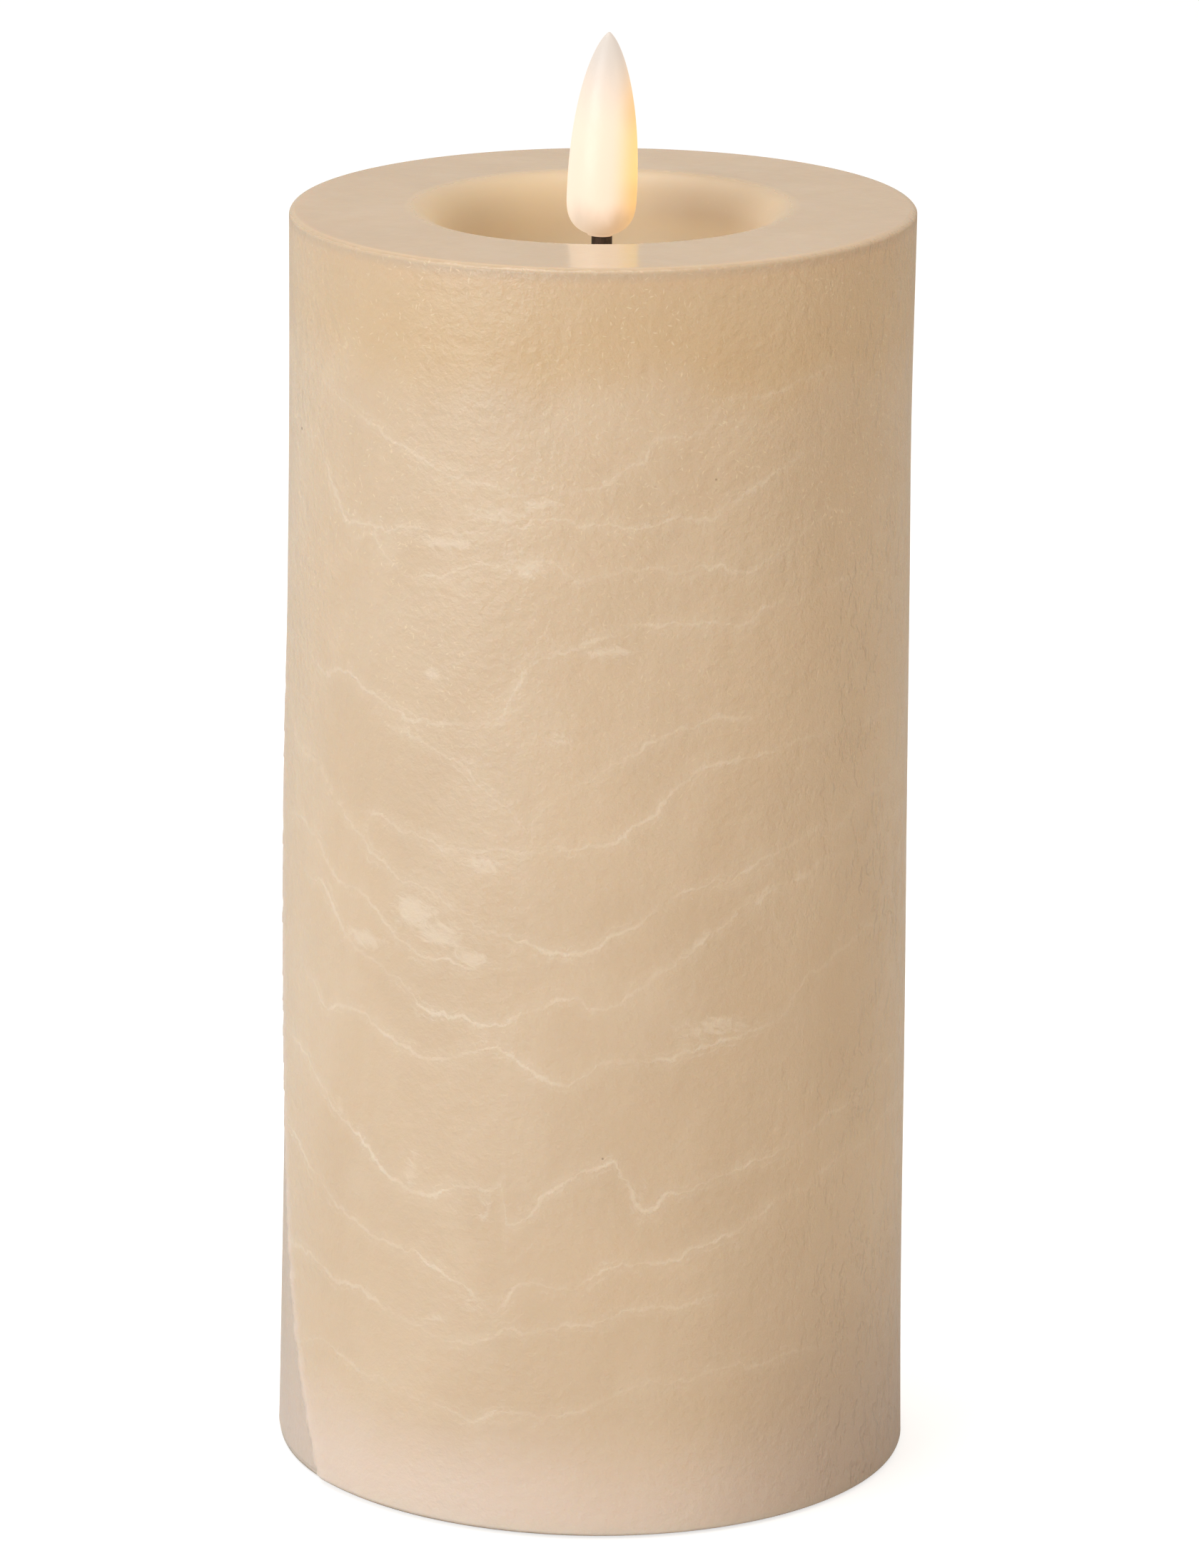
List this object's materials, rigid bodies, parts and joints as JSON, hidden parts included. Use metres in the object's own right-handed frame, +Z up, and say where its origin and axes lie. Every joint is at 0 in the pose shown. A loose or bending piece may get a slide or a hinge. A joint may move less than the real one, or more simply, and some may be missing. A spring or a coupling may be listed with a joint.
{
  "type": "flameless led candle",
  "caption": "Round wax pillar candle with a lamp flame on a wick in a shallow well, cells behind a hinged door and a slide switch in its base.",
  "frame": {"origin": "centre of the footprint, on the table under the rubber feet", "axes": "+Z up along the candle's axis; -Y towards the side with the slide switch; the door's hinge lies on the -X side"},
  "size_m": [0.0754, 0.0754, 0.1703],
  "materials": {
    "wax": "cast wax, smooth satin with fine marbling",
    "flame": "translucent flame-shaped diffuser, lit",
    "black_plastic": "fine-textured black moulding",
    "ivory_plastic": "plain ivory moulding",
    "case_plastic": "plain grey-white moulding",
    "rubber": "matt rubber",
    "steel": "plated steel",
    "nickel": "nickel-plated spring steel",
    "cell_jacket": "plain printed sleeve, no lettering",
    "board": "solder-resist board",
    "phenolic": "phenolic board",
    "lens": "clear warm-white lamp lens",
    "red_wire": "wire sleeve",
    "black_wire": "wire sleeve",
    "resistor_body": "lacquered ceramic"
  },
  "bodies": {
    "candle": {"wax_shell": "wax", "core_housing": "ivory_plastic", "base_plate": "black_plastic", "base_screw_1": "steel", "base_screw_2": "steel", "base_screw_3": "steel", "rubber_foot_1": "rubber", "rubber_foot_2": "rubber", "rubber_foot_3": "rubber", "rubber_foot_4": "rubber", "battery_case": "case_plastic", "cell_nub_up": "cell_jacket", "cell_nub_down": "cell_jacket", "contact_positive": "nickel", "contact_negative": "nickel", "case_spring": "nickel", "circuit_board": "board", "board_screw_1": "steel", "board_screw_2": "steel", "controller_chip": "black_plastic", "timer_crystal": "steel", "filter_capacitor": "black_plastic", "lamp_resistor": "resistor_body", "switch_case": "steel", "switch_board": "phenolic", "flame_diffuser": "flame", "wick_stem": "black_plastic", "wick_retainer": "ivory_plastic", "lamp_led": "lens", "lead_positive": "steel", "lead_negative": "steel", "lamp_wire_red": "red_wire", "lamp_wire_black": "black_wire", "switch_wire_1": "black_wire", "switch_wire_2": "red_wire"},
    "door": {"battery_door": "black_plastic", "door_contact": "nickel", "door_spring": "nickel"},
    "slider": {"switch_slider": "black_plastic"}
  },
  "joints": [
    {"name": "battery_door_hinge", "type": "hinge", "parent": "candle", "child": "door", "pos_m": [-0.02, 0, 0.0022], "axis": [0, 1, 0], "range_deg": [0, 95]},
    {"name": "switch_slide", "type": "slide", "parent": "candle", "child": "slider", "axis": [1, 0, 0], "range_m": [0, 0.004]}
  ]
}
